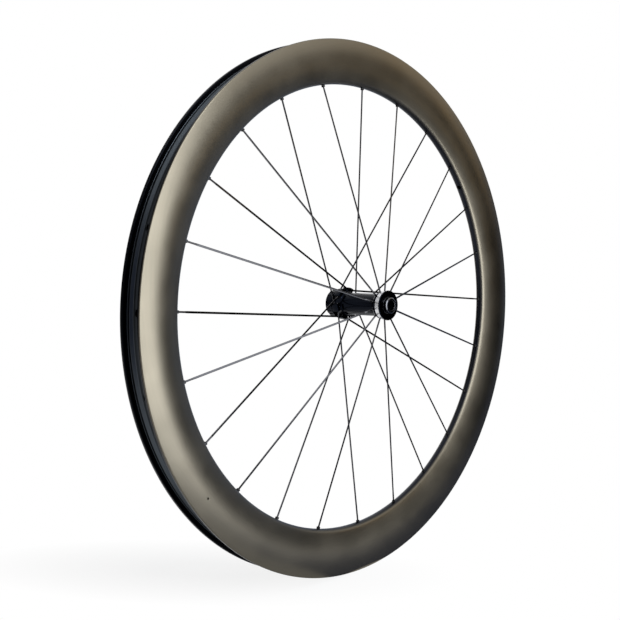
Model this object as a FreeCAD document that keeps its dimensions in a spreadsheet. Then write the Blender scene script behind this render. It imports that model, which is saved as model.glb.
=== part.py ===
import FreeCAD, Part
import math
import os
import Sketcher

# A front wheel for a road bicycle with disc brakes: a deep hollow rim, flattened straight-pull
# spokes, and a hub that turns on two ball bearings round a tube for a through axle.
# The origin is the wheel's centre and the axle lies along Y. The right side is -Y, the brake
# side is +Y, and Z is up. Lengths are in millimetres.

Vector = FreeCAD.Vector
doc = FreeCAD.newDocument("front_wheel")
sheet = doc.addObject("Spreadsheet::Sheet", "dim")

SIZES = {
    # rim
    "bead_seat_radius": 311.0,
    "lip_height": 5.5,
    "rim_depth": 50.5,
    "rim_width": 32.0,
    "inner_width": 24.0,
    "shelf_gap": 17.0,
    "well_depth": 3.0,
    "well_width": 13.0,
    "side_band": 10.5,
    "nose_radius": 8.0,
    "lip_chamfer": 0.9,
    "side_wall": 1.1,
    "bed_wall": 1.4,
    "nose_wall": 2.8,
    "access_hole_dia": 7.6,
    "valve_hole_dia": 6.5,
    "drain_hole_dia": 2.4,
    "drain_hole_inset": 17.5,
    # lacing
    "spoke_count": 24,
    "first_spoke_angle": 0.3,
    "right_flange_offset": 36.0,
    "left_flange_offset": 24.4,
    "left_row_offset": 1.9,
    "left_tangent_radius": 16.5,
    # spokes
    "spoke_dia": 2.0,
    "blade_width": 2.3,
    "blade_thickness": 0.9,
    "butt_length": 12.0,
    "thread_length": 14.0,
    "blade_run_out": 4.0,
    "spoke_past_nose": 4.0,
    "head_dia": 3.5,
    "head_thickness": 1.1,
    # nipples
    "nipple_dia": 4.0,
    "nipple_flats": 3.3,
    "nipple_flats_length": 2.0,
    "nipple_reach": 2.4,
    "nipple_head_dia": 6.0,
    "nipple_head_length": 1.5,
    "nipple_hole_clearance": 0.3,
    "nipple_seat_lift": 0.45,
    "thread_clearance": 0.05,
    # hub shell
    "shell_radius": 13.5,
    "shell_bore_radius": 11.0,
    "right_flange_radius": 16.4,
    "right_flange_outer_face": 37.8,
    "right_flange_edge": 3.0,
    "right_flange_inner_face": 33.0,
    "flange_bevel": 0.9,
    "flange_root": 1.6,
    "spigot_radius": 13.0,
    "head_groove_radius": 15.0,
    "head_groove_floor": 33.9,
    "spoke_slot_clearance": 0.25,
    "left_flange_radius": 20.0,
    "left_flange_thickness": 9.0,
    "left_slot_floor": 14.4,
    "head_setback": 1.0,
    "spoke_hole_clearance": 0.15,
    "neck_radius": 15.2,
    "rotor_shoulder_radius": 18.4,
    "rotor_shoulder_inner": 31.4,
    "rotor_shoulder_outer": 33.2,
    "spline_radius": 17.2,
    "spline_depth": 1.0,
    "spline_count": 18,
    "spline_groove_width": 2.4,
    "spline_groove_flare": 0.5,
    "spline_chamfer": 1.0,
    "left_end": 43.2,
    "lockring_bore_radius": 14.6,
    "lockring_bore_depth": 4.0,
    # ring and covers
    "ring_radius": 16.8,
    "ring_chamfer": 0.4,
    "cover_radius": 17.8,
    "cover_thickness": 1.2,
    "cover_bore_radius": 10.2,
    # axle and end caps
    "over_locknut": 100.0,
    "axle_bore_dia": 12.1,
    "axle_end_wall": 3.0,
    "cap_radius": 9.6,
    "cap_sleeve_radius": 8.8,
    "cap_sleeve_length": 1.6,
    "cap_chamfer": 0.8,
    "cap_slip": 0.05,
    "o_ring_section": 0.76,
    "o_ring_from_end": 4.4,
    "o_ring_groove_width": 1.2,
    # bearings
    "bearing_bore": 15.0,
    "bearing_outer_dia": 24.0,
    "bearing_width": 5.0,
    "right_bearing_centre": 41.7,
    "left_bearing_centre": 35.5,
    "bearing_fit": 0.01,
    "race_gap": 1.4,
    "ball_dia": 2.5,
    "ball_count": 8,
    "ball_play": 0.05,
    "seal_thickness": 0.6,
    "seal_lip_gap": 0.15,
    "cage_gap": 0.3,
    "cage_base_thickness": 0.4,
    "cage_post_angle": 24.0,
    "cage_post_reach": 0.6,
}
for row, (alias, number) in enumerate(SIZES.items(), start=1):
    sheet.set(f"A{row}", alias)
    sheet.set(f"B{row}", str(number))
    sheet.setAlias(f"B{row}", alias)
doc.recompute()

PARTS = []


def value(expression):
    """The number that an expression on the sheet gives now."""
    return float(sheet.evalExpression(str(expression)))


def new_body(label):
    """An empty body for one piece."""
    body = doc.addObject("PartDesign::Body", label)
    body.Label = label
    return body


def origin_feature(body, role):
    """One of a body's own origin planes or axes."""
    return next(feature for feature in body.Origin.OriginFeatures if feature.Role == role)


def draw_loop(sketch, corners, arcs):
    """A closed counter-clockwise outline. Corners are (x, y) expressions; arcs gives, by the corner
    that an arc leaves, its radius, positive with the centre on the left and negative on the right."""
    points = [Vector(value(x), value(y), 0) for x, y in corners]
    count = len(points)
    first = sketch.GeometryCount
    starts_at = []
    for i, start in enumerate(points):
        end = points[(i + 1) % count]
        if i not in arcs:
            sketch.addGeometry(Part.LineSegment(start, end))
            starts_at.append(1)
            continue
        radius = value(arcs[i])
        chord = end - start
        across = Vector(-chord.y, chord.x, 0).normalize()
        rise = math.sqrt(radius**2 - (chord.Length / 2) ** 2)
        centre = (start + end) * 0.5 + across * math.copysign(rise, radius)
        ends = [start, end] if radius > 0 else [end, start]
        angles = [math.atan2(p.y - centre.y, p.x - centre.x) for p in ends]
        if angles[1] < angles[0]:
            angles[1] += 2 * math.pi
        circle = Part.Circle(centre, Vector(0, 0, 1), abs(radius))
        sketch.addGeometry(Part.ArcOfCircle(circle, *angles))
        starts_at.append(1 if radius > 0 else 2)
    for i, (x, y) in enumerate(corners):
        side, pos = first + i, starts_at[i]
        before = first + (i - 1) % count
        sketch.addConstraint(Sketcher.Constraint("Coincident", before, 3 - starts_at[i - 1], side, pos))
        for kind, expression, number in (("DistanceX", x, points[i].x), ("DistanceY", y, points[i].y)):
            index = sketch.addConstraint(Sketcher.Constraint(kind, -1, 1, side, pos, number))
            sketch.setExpression(f"Constraints[{index}]", expression)
    for i, radius in arcs.items():
        index = sketch.addConstraint(Sketcher.Constraint("Radius", first + i, abs(value(radius))))
        sketch.setExpression(f"Constraints[{index}]", f"abs({radius})")


def new_sketch(body, name, plane, loops):
    """A sketch on one of the body's origin planes; loops are (corners, arcs) pairs."""
    sketch = body.newObject("Sketcher::SketchObject", name)
    sketch.AttachmentSupport = [(origin_feature(body, plane), "")]
    sketch.MapMode = "FlatFace"
    for corners, arcs in loops:
        draw_loop(sketch, corners, arcs)
    return sketch


def revolve(body, sketch, axis, angle=360.0):
    """A sketch turned about one of its own axes, centred on the sketch where it isn't a full turn."""
    turned = body.newObject("PartDesign::Revolution", f"{sketch.Name}_turned")
    turned.Profile = sketch
    turned.ReferenceAxis = (sketch, [axis])
    turned.Angle = angle
    turned.Midplane = angle < 360
    return turned


def turned_piece(label, corners, arcs=None):
    """A piece turned about the axle. Corners are (place along the axle, radius) expressions."""
    body = new_body(label)
    sketch = new_sketch(body, f"{label}_section", "YZ_Plane", [(corners, arcs or {})])
    revolve(body, sketch, "H_Axis")
    PARTS.append(body)
    return body


def round_the_axle(body, feature, copies):
    """Repeats a feature of a body evenly round the axle."""
    pattern = body.newObject("PartDesign::PolarPattern", f"{feature.Name}_round")
    pattern.Originals = [feature]
    pattern.Axis = (origin_feature(body, "Y_Axis"), [""])
    pattern.Angle = 360
    pattern.setExpression("Occurrences", str(copies))
    body.Tip = pattern
    return pattern


def bind(feature, **sizes):
    """Ties a feature's properties to expressions on the sheet."""
    for name, expression in sizes.items():
        feature.setExpression(name, str(expression))


def at_angle(degrees, x=0.0, y=0.0, z=0.0):
    """A placement made beside the X axis, then turned about the axle to an angle of the wheel."""
    turn = FreeCAD.Rotation(Vector(0, 1, 0), -degrees)
    return FreeCAD.Placement(turn.multVec(Vector(x, y, z)), turn)


def along(start, direction, flat_side=Vector(0, 1, 0)):
    """A placement whose local Z runs along a direction, with local Y as near as can be to flat_side."""
    z_axis = Vector(direction).normalize()
    x_axis = flat_side.cross(z_axis).normalize()
    return FreeCAD.Placement(start, FreeCAD.Rotation(x_axis, z_axis.cross(x_axis), z_axis, "ZXY"))


def drill(body, name, radius, length, start, direction, flat_side=Vector(0, 1, 0)):
    """A round hole cut from a start point along a direction."""
    hole = body.newObject("PartDesign::SubtractiveCylinder", name)
    bind(hole, Radius=radius, Height=length)
    hole.Placement = along(start, direction, flat_side)
    return hole


# Lacing. Spokes leave the rim evenly. Every second one is held on the right flange and points
# straight at the axle; the others pass the axle at the tangent radius, to one side and the other
# in turn, in an outer and an inner row of the left flange.
RIM_R = "(dim.bead_seat_radius + dim.lip_height)"
NOSE = f"({RIM_R} - dim.rim_depth)"
HEAD_TOP_GAP = "0.4"
RIGHT_SEAT = f"(dim.head_groove_radius - {HEAD_TOP_GAP})"
LEFT_ROWS = {
    1: "(dim.left_flange_offset + dim.left_row_offset)",
    -1: "(dim.left_flange_offset - dim.left_row_offset)",
}
RIGHT_SPAN = f"sqrt(({NOSE} - {RIGHT_SEAT})^2 + dim.right_flange_offset^2)"
LEFT_SPANS = {
    lean: f"(sqrt({NOSE}^2 - dim.left_tangent_radius^2 + {row}^2) + dim.head_setback)"
    for lean, row in LEFT_ROWS.items()
}
spoke_count = int(value("dim.spoke_count"))
pitch = 360 / spoke_count
phase = value("dim.first_spoke_angle")


def right_line(angle):
    """Head seat and direction of a right spoke whose rim end is at an angle of the wheel."""
    head = at_angle(angle, value(RIGHT_SEAT), -value("dim.right_flange_offset")).Base
    rim_end = at_angle(angle, value(NOSE)).Base
    return head, (rim_end - head).normalize()


def left_line(angle, lean):
    """Head seat and direction of a left spoke, which passes the axle on the side that lean gives."""
    tangent = value("dim.left_tangent_radius")
    swing = math.degrees(math.acos(tangent / value(NOSE)))
    foot = at_angle(angle + lean * swing, tangent, value(LEFT_ROWS[lean])).Base
    rim_end = at_angle(angle, value(NOSE)).Base
    direction = (rim_end - foot).normalize()
    return foot - direction * value("dim.head_setback"), direction


SPOKES = []
for number in range(spoke_count):
    angle = phase + number * pitch
    place = number // 2 + 1
    if number % 2:
        SPOKES.append((f"right_spoke_{place:02d}", angle, right_line(angle), RIGHT_SPAN))
    else:
        lean = 1 if number % 4 == 0 else -1
        SPOKES.append((f"left_spoke_{place:02d}", angle, left_line(angle, lean), LEFT_SPANS[lean]))

# Rim. Its section has two straight lips, a large arc down each side and a round nose, round a hollow.
HALF = "(dim.rim_width / 2)"
INNER = "(dim.inner_width / 2)"
SHELF = "(dim.shelf_gap / 2)"
WELL = "(dim.well_width / 2)"
NOSE_CENTRE = f"({NOSE} + dim.nose_radius)"
WIDEST_R = f"({RIM_R} - dim.side_band)"
WELL_R = "(dim.bead_seat_radius - dim.well_depth)"
SIDE_DROP = f"({WIDEST_R} - {NOSE_CENTRE})"
SIDE_ARC = f"(({HALF}^2 + {SIDE_DROP}^2 - dim.nose_radius^2) / (2 * ({HALF} - dim.nose_radius)))"
NOSE_SHARE = f"(dim.nose_radius / ({SIDE_ARC} - dim.nose_radius))"
MEET_Y = f"({NOSE_SHARE} * ({SIDE_ARC} - {HALF}))"
MEET_R = f"({NOSE_CENTRE} - {NOSE_SHARE} * {SIDE_DROP})"
LIP = f"({RIM_R} - dim.lip_chamfer)"
LIP_EDGE = f"({HALF} - dim.lip_chamfer)"
UNDER_WELL = f"({WELL_R} - dim.bed_wall)"
UNDER_SHELF = "(dim.bead_seat_radius - dim.bed_wall)"
LAND = f"({NOSE} + dim.nose_wall)"
HOLLOW_ARC = f"({SIDE_ARC} - dim.side_wall)"
HOLLOW_HALF = f"({HALF} - dim.side_wall)"
LAND_HALF = f"({HALF} - {SIDE_ARC} + sqrt({HOLLOW_ARC}^2 - ({WIDEST_R} - {LAND})^2))"
rim_outline = [
    (HALF, WIDEST_R),
    (HALF, LIP),
    (LIP_EDGE, RIM_R),
    (INNER, RIM_R),
    (INNER, "dim.bead_seat_radius"),
    (SHELF, "dim.bead_seat_radius"),
    (WELL, WELL_R),
    (f"-{WELL}", WELL_R),
    (f"-{SHELF}", "dim.bead_seat_radius"),
    (f"-{INNER}", "dim.bead_seat_radius"),
    (f"-{INNER}", RIM_R),
    (f"-{LIP_EDGE}", RIM_R),
    (f"-{HALF}", LIP),
    (f"-{HALF}", WIDEST_R),
    (f"-{MEET_Y}", MEET_R),
    (MEET_Y, MEET_R),
]
hollow_outline = [
    (HOLLOW_HALF, WIDEST_R),
    (HOLLOW_HALF, UNDER_SHELF),
    (SHELF, UNDER_SHELF),
    (WELL, UNDER_WELL),
    (f"-{WELL}", UNDER_WELL),
    (f"-{SHELF}", UNDER_SHELF),
    (f"-{HOLLOW_HALF}", UNDER_SHELF),
    (f"-{HOLLOW_HALF}", WIDEST_R),
    (f"-{LAND_HALF}", LAND),
    (LAND_HALF, LAND),
]
rim = new_body("rim")
rim_sketch = new_sketch(
    rim,
    "rim_section",
    "YZ_Plane",
    [
        (rim_outline, {13: SIDE_ARC, 14: "dim.nose_radius", 15: SIDE_ARC}),
        (hollow_outline, {7: HOLLOW_ARC, 9: HOLLOW_ARC}),
    ],
)
revolve(rim, rim_sketch, "H_Axis")

# Access holes through the tyre bed, one over each nipple.
bed_drill_length = "(2 * dim.bed_wall)"
bed_start = value(UNDER_WELL) - value("dim.bed_wall") / 2
access = drill(
    rim,
    "access_hole",
    "dim.access_hole_dia / 2",
    bed_drill_length,
    at_angle(phase, bed_start).Base,
    at_angle(phase, 1).Base,
)
round_the_axle(rim, access, "dim.spoke_count")

# Spoke holes through the nose, each drilled along its own spoke.
NOSE_HOLE = "(dim.nipple_dia / 2 + dim.nipple_hole_clearance)"
NOSE_DRILL = "(4 * dim.nose_wall)"
for name, (head, direction), span, share in (
    ("right_spoke_hole", right_line(phase + pitch), RIGHT_SPAN, 2),
    ("left_lead_hole", left_line(phase, 1), LEFT_SPANS[1], 4),
    ("left_trail_hole", left_line(phase + 2 * pitch, -1), LEFT_SPANS[-1], 4),
):
    before_nose = value(span) - value("dim.nose_wall")
    hole = drill(rim, name, NOSE_HOLE, NOSE_DRILL, head + direction * before_nose, direction)
    round_the_axle(rim, hole, f"dim.spoke_count / {share}")

# The valve hole, midway between two spokes, and the drain hole in the right side across from it.
valve_angle = phase + 2.5 * pitch
drill(
    rim,
    "valve_hole",
    "dim.valve_hole_dia / 2",
    "1.2 * dim.rim_depth",
    at_angle(valve_angle, value(NOSE) - value("dim.nose_wall")).Base,
    at_angle(valve_angle, 1).Base,
)
drain_radius = value(RIM_R) - value("dim.drain_hole_inset")
drain_place = at_angle(valve_angle + 180, drain_radius, -value(HALF) - 1).Base
inward = Vector(0, 1, 0)
drill(rim, "drain_hole", "dim.drain_hole_dia / 2", "dim.rim_width / 4", drain_place, inward, Vector(0, 0, 1))
PARTS.append(rim)

# Spokes. Each is a round wire with an upset head and a threaded end, pressed flat in between.
# Local Z runs from the head's seat to the rim.
SPOKE_R = "(dim.spoke_dia / 2)"
BLADE_R = "(dim.blade_width / 2)"
BLADE_T = "(dim.blade_thickness / 2)"
HEAD_R = "(dim.head_dia / 2)"
for label, angle, (head, direction), span in SPOKES:
    length = f"({span} + dim.spoke_past_nose)"
    thread_start = f"({length} - dim.thread_length)"
    blade_start = "(dim.butt_length + dim.blade_run_out)"
    blade_end = f"({thread_start} - dim.blade_run_out)"
    spoke = new_body(label)
    wire = new_sketch(
        spoke,
        f"{label}_wire",
        "XZ_Plane",
        [
            (
                [
                    ("0", "-dim.head_thickness"),
                    (HEAD_R, "-dim.head_thickness"),
                    (HEAD_R, "0"),
                    (SPOKE_R, "0"),
                    (SPOKE_R, "dim.butt_length"),
                    (BLADE_R, blade_start),
                    (BLADE_R, blade_end),
                    (SPOKE_R, thread_start),
                    (SPOKE_R, length),
                    ("0", length),
                ],
                {},
            )
        ],
    )
    revolve(spoke, wire, "V_Axis")
    press_loops = []
    for side in ("", "-"):
        corners = [
            (f"{side}{BLADE_T}", blade_start),
            (f"{side}dim.blade_width", "dim.butt_length"),
            (f"{side}dim.blade_width", thread_start),
            (f"{side}{BLADE_T}", blade_end),
        ]
        press_loops.append((corners if side == "" else corners[::-1], {}))
    flats = new_sketch(spoke, f"{label}_flats", "YZ_Plane", press_loops)
    pressed = spoke.newObject("PartDesign::Pocket", f"{label}_pressed")
    pressed.Profile = flats
    pressed.Type = 1
    pressed.Midplane = True
    spoke.Placement = along(head, direction)
    PARTS.append(spoke)

# Nipples. Local Z runs outward and starts at the rim's nose; the cone under the head lies on the
# edge of the spoke hole, inside the hollow.
NIPPLE_R = "(dim.nipple_dia / 2)"
NIPPLE_HEAD_R = "(dim.nipple_head_dia / 2)"
NIPPLE_BORE = "(dim.spoke_dia / 2 + dim.thread_clearance)"
CONE_START = "(dim.nose_wall + dim.nipple_seat_lift - dim.nipple_hole_clearance)"
CONE_END = f"({CONE_START} + {NIPPLE_HEAD_R} - {NIPPLE_R})"
NIPPLE_TOP = f"({CONE_END} + dim.nipple_head_length)"
nipple = new_body("nipple")
nipple_section = new_sketch(
    nipple,
    "nipple_section",
    "XZ_Plane",
    [
        (
            [
                (NIPPLE_BORE, "-dim.nipple_reach"),
                (NIPPLE_R, "-dim.nipple_reach"),
                (NIPPLE_R, CONE_START),
                (NIPPLE_HEAD_R, CONE_END),
                (NIPPLE_HEAD_R, NIPPLE_TOP),
                (NIPPLE_BORE, NIPPLE_TOP),
            ],
            {},
        )
    ],
)
revolve(nipple, nipple_section, "V_Axis")
flat_half = "(dim.nipple_flats / 2)"
flat_loops = []
for side in ("", "-"):
    corners = [
        (f"{side}{flat_half}", "-dim.nipple_reach - 1"),
        (f"{side}dim.nipple_dia", "-dim.nipple_reach - 1"),
        (f"{side}dim.nipple_dia", "dim.nipple_flats_length - dim.nipple_reach"),
        (f"{side}{flat_half}", "dim.nipple_flats_length - dim.nipple_reach"),
    ]
    flat_loops.append((corners if side == "" else corners[::-1], {}))
for plane in ("XZ_Plane", "YZ_Plane"):
    flats = new_sketch(nipple, f"nipple_flats_{plane}", plane, flat_loops)
    milled = nipple.newObject("PartDesign::Pocket", f"nipple_milled_{plane}")
    milled.Profile = flats
    milled.Type = 1
    milled.Midplane = True
doc.recompute()

nipples = doc.addObject("Part::Feature", "nipples")
nipples.Label = "nipples"
placed = []
for label, angle, (head, direction), span in SPOKES:
    one = nipple.Shape.copy()
    one.Placement = along(head + direction * value(span), direction)
    placed.append(one)
nipples.Shape = Part.makeCompound(placed)
PARTS.append(nipples)

# Hub shell. It is turned from bar, then milled for the spokes and the brake disc.
RIGHT_END = "(dim.right_bearing_centre + dim.bearing_width / 2)"
RIGHT_SHOULDER = "(dim.right_bearing_centre - dim.bearing_width / 2)"
LEFT_SHOULDER = "(dim.left_bearing_centre - dim.bearing_width / 2)"
LEFT_RACE_FACE = "(dim.left_bearing_centre + dim.bearing_width / 2)"
LOCKRING_FLOOR = "(dim.left_end - dim.lockring_bore_depth)"
SEAT = "(dim.bearing_outer_dia / 2 + dim.bearing_fit)"
FLANGE_EDGE = "(dim.right_flange_outer_face - dim.right_flange_edge)"
BEVEL_R = "(dim.right_flange_radius - dim.flange_bevel)"
LEFT_FLANGE_START = "(dim.left_flange_offset - dim.left_flange_thickness / 2)"
LEFT_FLANGE_END = "(dim.left_flange_offset + dim.left_flange_thickness / 2)"
LEFT_ROOT = f"({LEFT_FLANGE_START} - dim.flange_root)"
RIGHT_ROOT = "(dim.right_flange_inner_face - dim.flange_root)"
SPLINE_END_R = "(dim.spline_radius - dim.spline_chamfer)"
shell = turned_piece(
    "hub_shell",
    [
        (f"-{RIGHT_END}", SEAT),
        (f"-{RIGHT_SHOULDER}", SEAT),
        (f"-{RIGHT_SHOULDER}", "dim.shell_bore_radius"),
        (LEFT_SHOULDER, "dim.shell_bore_radius"),
        (LEFT_SHOULDER, SEAT),
        (LOCKRING_FLOOR, SEAT),
        (LOCKRING_FLOOR, "dim.lockring_bore_radius"),
        ("dim.left_end", "dim.lockring_bore_radius"),
        ("dim.left_end", SPLINE_END_R),
        ("dim.left_end - dim.spline_chamfer", "dim.spline_radius"),
        ("dim.rotor_shoulder_outer", "dim.spline_radius"),
        ("dim.rotor_shoulder_outer", "dim.rotor_shoulder_radius"),
        ("dim.rotor_shoulder_inner", "dim.rotor_shoulder_radius"),
        ("dim.rotor_shoulder_inner", "dim.neck_radius"),
        (LEFT_FLANGE_END, "dim.neck_radius"),
        (LEFT_FLANGE_END, "dim.left_flange_radius"),
        (LEFT_FLANGE_START, "dim.left_flange_radius"),
        (LEFT_FLANGE_START, "dim.shell_radius + dim.flange_root"),
        (LEFT_ROOT, "dim.shell_radius"),
        (f"-{RIGHT_ROOT}", "dim.shell_radius"),
        ("-dim.right_flange_inner_face", "dim.shell_radius + dim.flange_root"),
        ("-dim.right_flange_inner_face", BEVEL_R),
        (f"-{FLANGE_EDGE}", "dim.right_flange_radius"),
        ("-dim.right_flange_outer_face", "dim.right_flange_radius"),
        ("-dim.right_flange_outer_face", "dim.head_groove_radius"),
        ("-dim.head_groove_floor", "dim.head_groove_radius"),
        ("-dim.head_groove_floor", "dim.spigot_radius"),
        (f"-{RIGHT_END}", "dim.spigot_radius"),
    ],
    {17: "-dim.flange_root", 19: "-dim.flange_root"},
)

# Slots in the right flange, open at its outer face, that the spokes drop into from the side.
SLOT_WIDTH = "(dim.spoke_dia + 2 * dim.spoke_slot_clearance)"
SLOT_DEPTH = f"(dim.right_flange_outer_face - dim.right_flange_offset + {SLOT_WIDTH} / 2 + {HEAD_TOP_GAP})"
slot = shell.newObject("PartDesign::SubtractiveBox", "right_slot")
bind(slot, Length="dim.right_flange_radius", Width=f"2 * {SLOT_DEPTH}", Height=SLOT_WIDTH)
slot.Placement = at_angle(
    phase + pitch,
    (value("dim.spigot_radius") + value("dim.head_groove_radius")) / 2,
    -value("dim.right_flange_outer_face") - value(SLOT_DEPTH),
    -value(SLOT_WIDTH) / 2,
)
round_the_axle(shell, slot, "dim.spoke_count / 2")

# Notches that leave the left flange as blocks. Each side of a notch is square to the spoke whose
# head lies on it, so a notch flares by the spokes' lean.
NOTCH_TAN = f"tan(360 deg / dim.spoke_count + asin(dim.left_tangent_radius / {NOSE}))"
NOTCH_COS = f"cos(360 deg / dim.spoke_count + asin(dim.left_tangent_radius / {NOSE}))"


def notch_half_width(radius):
    """Half a notch's width at a distance from the axle."""
    return f"({radius} * {NOTCH_TAN} - dim.head_setback / {NOTCH_COS})"


NOTCH_TOP = "(dim.left_flange_radius + 1)"
notch = shell.newObject("PartDesign::SubtractiveWedge", "left_notch")
bind(
    notch,
    Ymin="dim.left_slot_floor",
    Ymax=NOTCH_TOP,
    Xmin=f"-{notch_half_width('dim.left_slot_floor')}",
    Xmax=notch_half_width("dim.left_slot_floor"),
    X2min=f"-{notch_half_width(NOTCH_TOP)}",
    X2max=notch_half_width(NOTCH_TOP),
    Zmin=LEFT_FLANGE_START,
    Zmax=LEFT_FLANGE_END,
    Z2min=LEFT_FLANGE_START,
    Z2max=LEFT_FLANGE_END,
)
notch_angle = math.radians(phase + 7 * pitch)
notch_out = Vector(math.cos(notch_angle), 0, math.sin(notch_angle))
notch_turn = FreeCAD.Rotation(notch_out.cross(Vector(0, 1, 0)), notch_out, Vector(0, 1, 0), "ZYX")
notch.Placement = FreeCAD.Placement(Vector(), notch_turn)
round_the_axle(shell, notch, "dim.spoke_count / 4")

# Spoke holes through the blocks of the left flange.
SPOKE_HOLE = "(dim.spoke_dia / 2 + dim.spoke_hole_clearance)"
for name, (head, direction) in (
    ("left_lead_bore", left_line(phase, 1)),
    ("left_trail_bore", left_line(phase + 2 * pitch, -1)),
):
    start = head - direction * value("dim.head_thickness")
    bore = drill(shell, name, SPOKE_HOLE, "dim.left_tangent_radius", start, direction)
    round_the_axle(shell, bore, "dim.spoke_count / 4")

# Splines for the brake disc's carrier.
GROOVE_FLOOR = "(dim.spline_radius - dim.spline_depth)"
GROOVE_HALF = "(dim.spline_groove_width / 2)"
GROOVE_WIDE = f"({GROOVE_HALF} + dim.spline_groove_flare)"
groove = shell.newObject("PartDesign::SubtractiveWedge", "spline_groove")
bind(
    groove,
    Ymin=GROOVE_FLOOR,
    Ymax="dim.spline_radius + dim.spline_depth",
    Xmin=f"-{GROOVE_HALF}",
    Xmax=GROOVE_HALF,
    X2min=f"-{GROOVE_WIDE}",
    X2max=GROOVE_WIDE,
    Zmin="dim.rotor_shoulder_outer",
    Zmax="dim.left_end",
    Z2min="dim.rotor_shoulder_outer",
    Z2max="dim.left_end",
)
groove.Placement = FreeCAD.Placement(Vector(), FreeCAD.Rotation(Vector(1, 0, 0), -90))
round_the_axle(shell, groove, "dim.spline_count")

# Bright ring that closes the right flange's head groove, and the covers over the bearings.
RING_INNER = "(dim.spigot_radius + dim.bearing_fit)"
RING_EDGE = "(dim.ring_radius - dim.ring_chamfer)"
turned_piece(
    "retaining_ring",
    [
        (f"-{RIGHT_END}", RING_INNER),
        ("-dim.right_flange_outer_face", RING_INNER),
        ("-dim.right_flange_outer_face", RING_EDGE),
        ("-dim.right_flange_outer_face - dim.ring_chamfer", "dim.ring_radius"),
        (f"-{RIGHT_END} + dim.ring_chamfer", "dim.ring_radius"),
        (f"-{RIGHT_END}", RING_EDGE),
    ],
)
COVER_FACE = f"({RIGHT_END} + dim.cover_thickness)"
turned_piece(
    "right_dust_cover",
    [
        (f"-{COVER_FACE}", "dim.cover_bore_radius"),
        (f"-{RIGHT_END}", "dim.cover_bore_radius"),
        (f"-{RIGHT_END}", "dim.cover_radius"),
        (f"-{COVER_FACE} + dim.cover_thickness / 2", "dim.cover_radius"),
        (f"-{COVER_FACE}", "dim.cover_radius - dim.cover_thickness / 2"),
    ],
)
turned_piece(
    "left_dust_cover",
    [
        (LEFT_RACE_FACE, "dim.cover_bore_radius"),
        (LOCKRING_FLOOR, "dim.cover_bore_radius"),
        (LOCKRING_FLOOR, "dim.bearing_outer_dia / 2"),
        (LEFT_RACE_FACE, "dim.bearing_outer_dia / 2"),
    ],
)

# Axle tube and the end caps that slip over its ends, up to the bearings' inner races.
END = "(dim.over_locknut / 2)"
TUBE_END = f"({END} - dim.axle_end_wall)"
AXLE_BORE = "(dim.axle_bore_dia / 2)"
TUBE_R = "(dim.bearing_bore / 2 - dim.bearing_fit)"
turned_piece(
    "axle_tube",
    [(f"-{TUBE_END}", AXLE_BORE), (TUBE_END, AXLE_BORE), (TUBE_END, TUBE_R), (f"-{TUBE_END}", TUBE_R)],
)
CAP_BORE = f"({TUBE_R} + dim.cap_slip)"
O_RING_PLACE = f"({END} - dim.o_ring_from_end)"
O_RING_R = f"({TUBE_R} + dim.o_ring_section / 2 + dim.cap_slip)"
O_GROOVE_R = f"({O_RING_R} + dim.o_ring_section / 2 + dim.cap_slip)"
O_GROOVE_IN = f"({O_RING_PLACE} - dim.o_ring_groove_width / 2)"
O_GROOVE_OUT = f"({O_RING_PLACE} + dim.o_ring_groove_width / 2)"
for side, sign, race_face in (("right", "-", RIGHT_END), ("left", "", LEFT_RACE_FACE)):
    sleeve_end = f"({race_face} + dim.cap_sleeve_length)"
    cap = [
        (f"{sign}{race_face}", CAP_BORE),
        (f"{sign}{O_GROOVE_IN}", CAP_BORE),
        (f"{sign}{O_GROOVE_IN}", O_GROOVE_R),
        (f"{sign}{O_GROOVE_OUT}", O_GROOVE_R),
        (f"{sign}{O_GROOVE_OUT}", CAP_BORE),
        (f"{sign}{TUBE_END}", CAP_BORE),
        (f"{sign}{TUBE_END}", AXLE_BORE),
        (f"{sign}{END}", AXLE_BORE),
        (f"{sign}{END}", "dim.cap_radius - dim.cap_chamfer"),
        (f"{sign}({END} - dim.cap_chamfer)", "dim.cap_radius"),
        (f"{sign}{sleeve_end}", "dim.cap_radius"),
        (f"{sign}{sleeve_end}", "dim.cap_sleeve_radius"),
        (f"{sign}{race_face}", "dim.cap_sleeve_radius"),
    ]
    turned_piece(f"{side}_end_cap", cap if sign == "" else cap[::-1])

o_rings = doc.addObject("Part::Compound", "end_cap_o_rings")
o_rings.Label = "end_cap_o_rings"
o_ring_pair = []
for side, sign in (("right", -1), ("left", 1)):
    o_ring = doc.addObject("Part::Torus", f"{side}_o_ring")
    bind(o_ring, Radius1=O_RING_R, Radius2="dim.o_ring_section / 2")
    turn = FreeCAD.Rotation(Vector(1, 0, 0), 90)
    o_ring.Placement = FreeCAD.Placement(Vector(0, sign * value(O_RING_PLACE), 0), turn)
    o_ring_pair.append(o_ring)
o_rings.Links = o_ring_pair
PARTS.append(o_rings)

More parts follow.
